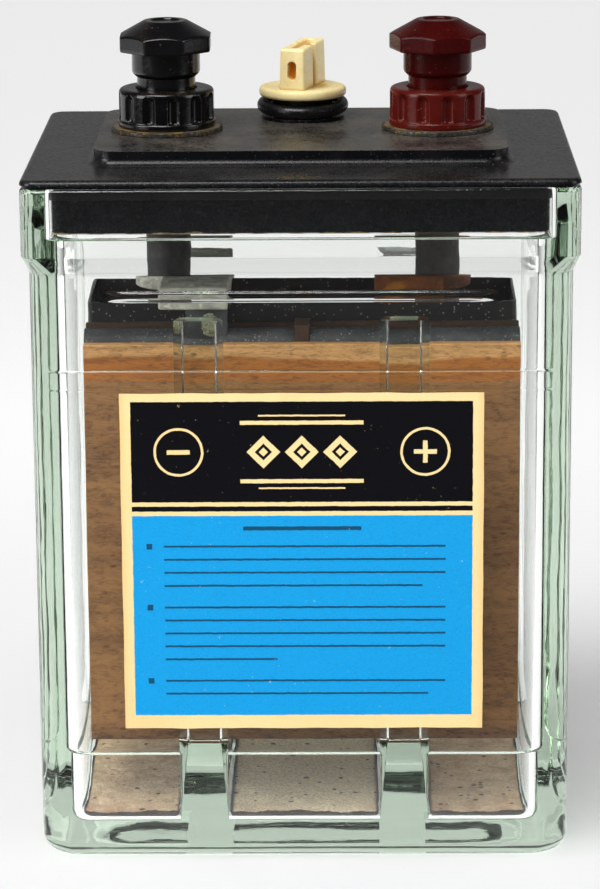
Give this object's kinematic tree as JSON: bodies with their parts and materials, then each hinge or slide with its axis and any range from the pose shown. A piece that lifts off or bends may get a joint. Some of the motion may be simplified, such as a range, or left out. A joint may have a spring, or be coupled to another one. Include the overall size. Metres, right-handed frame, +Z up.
{
  "type": "glass accumulator cell",
  "caption": "Two-volt lead accumulator: ribbed glass jar, moulded lid, screw terminals, pull-out vent plug and a plate pack between wooden boards.",
  "frame": {"origin": "middle of the flat base of the glass jar", "axes": "+Z up through the lid, -Y towards the labelled front, +X towards the red positive terminal"},
  "size_m": [0.1212, 0.094, 0.184],
  "materials": {
    "glass": "pressed, glossy, pale green",
    "label_paper": "aged matt paper",
    "lid_moulding": "moulded, dull, dusty",
    "compound": "pitch-like, dull",
    "sediment": "dried powder",
    "guard_wood": "acid-stained, open grain",
    "thin_wood": "dark veneer",
    "lead": "dull grey cast lead",
    "lead_peroxide": "dull brown plate",
    "ebonite": "dark sheet, half gloss",
    "stud_brass": "dulled brass",
    "rubber": "black rubber",
    "washer_metal": "tarnished plated metal",
    "black_moulding": "black moulded, half gloss",
    "red_moulding": "oxblood moulded, half gloss",
    "vent_moulding": "ivory moulded, waxy"
  },
  "bodies": {
    "cell": {"glass_jar": "glass", "front_label": "label_paper", "lid": "lid_moulding", "sealing_compound": "compound", "sediment_bed": "sediment", "front_guard_board": "guard_wood", "rear_guard_board": "guard_wood", "front_negative_plate": "lead", "rear_negative_plate": "lead", "front_spacer_strip": "thin_wood", "rear_spacer_strip": "thin_wood", "front_wood_separator": "thin_wood", "rear_wood_separator": "thin_wood", "ebonite_envelope": "ebonite", "positive_plate": "lead_peroxide", "negative_strap": "lead", "positive_strap": "lead_peroxide", "negative_post": "lead", "positive_post": "lead", "negative_stud": "stud_brass", "positive_stud": "stud_brass", "negative_bush": "rubber", "positive_bush": "rubber", "negative_washer": "washer_metal", "positive_washer": "washer_metal"},
    "negative_knob_thread": {"negative_knob_insert": "stud_brass"},
    "negative_knob_moulding": {"negative_knob": "black_moulding"},
    "negative_nut_thread": {"negative_nut_insert": "stud_brass"},
    "negative_nut_moulding": {"negative_lock_nut": "black_moulding"},
    "positive_knob_thread": {"positive_knob_insert": "stud_brass"},
    "positive_knob_moulding": {"positive_knob": "red_moulding"},
    "positive_nut_thread": {"positive_nut_insert": "stud_brass"},
    "positive_nut_moulding": {"positive_lock_nut": "red_moulding"},
    "vent": {"vent_plug": "vent_moulding", "vent_plug_ring": "rubber"}
  },
  "joints": [
    {"name": "negative_knob_lift", "type": "slide", "parent": "cell", "child": "negative_knob_thread", "axis": [0, 0, 1], "range_m": [0, 0.0075]},
    {"name": "negative_knob_turn", "type": "hinge", "parent": "negative_knob_thread", "child": "negative_knob_moulding", "pos_m": [-0.0306, 0, 0.17], "axis": [0, 0, 1], "range_deg": [0, 2160]},
    {"name": "negative_nut_lift", "type": "slide", "parent": "cell", "child": "negative_nut_thread", "axis": [0, 0, 1], "range_m": [0, 0.00125]},
    {"name": "negative_nut_turn", "type": "hinge", "parent": "negative_nut_thread", "child": "negative_nut_moulding", "pos_m": [-0.0306, 0, 0.162], "axis": [0, 0, 1], "range_deg": [0, 360]},
    {"name": "positive_knob_lift", "type": "slide", "parent": "cell", "child": "positive_knob_thread", "axis": [0, 0, 1], "range_m": [0, 0.0075]},
    {"name": "positive_knob_turn", "type": "hinge", "parent": "positive_knob_thread", "child": "positive_knob_moulding", "pos_m": [0.0306, 0, 0.17], "axis": [0, 0, 1], "range_deg": [0, 2160]},
    {"name": "positive_nut_lift", "type": "slide", "parent": "cell", "child": "positive_nut_thread", "axis": [0, 0, 1], "range_m": [0, 0.00125]},
    {"name": "positive_nut_turn", "type": "hinge", "parent": "positive_nut_thread", "child": "positive_nut_moulding", "pos_m": [0.0306, 0, 0.162], "axis": [0, 0, 1], "range_deg": [0, 360]},
    {"name": "vent_plug_pull", "type": "slide", "parent": "cell", "child": "vent", "axis": [0, 0, 1], "range_m": [0, 0.025]}
  ],
  "couplings": [
    {"joint": "negative_knob_lift", "follows": "negative_knob_turn", "m_per_rad": 0.00019894},
    {"joint": "negative_nut_lift", "follows": "negative_nut_turn", "m_per_rad": 0.00019894},
    {"joint": "positive_knob_lift", "follows": "positive_knob_turn", "m_per_rad": 0.00019894},
    {"joint": "positive_nut_lift", "follows": "positive_nut_turn", "m_per_rad": 0.00019894}
  ]
}
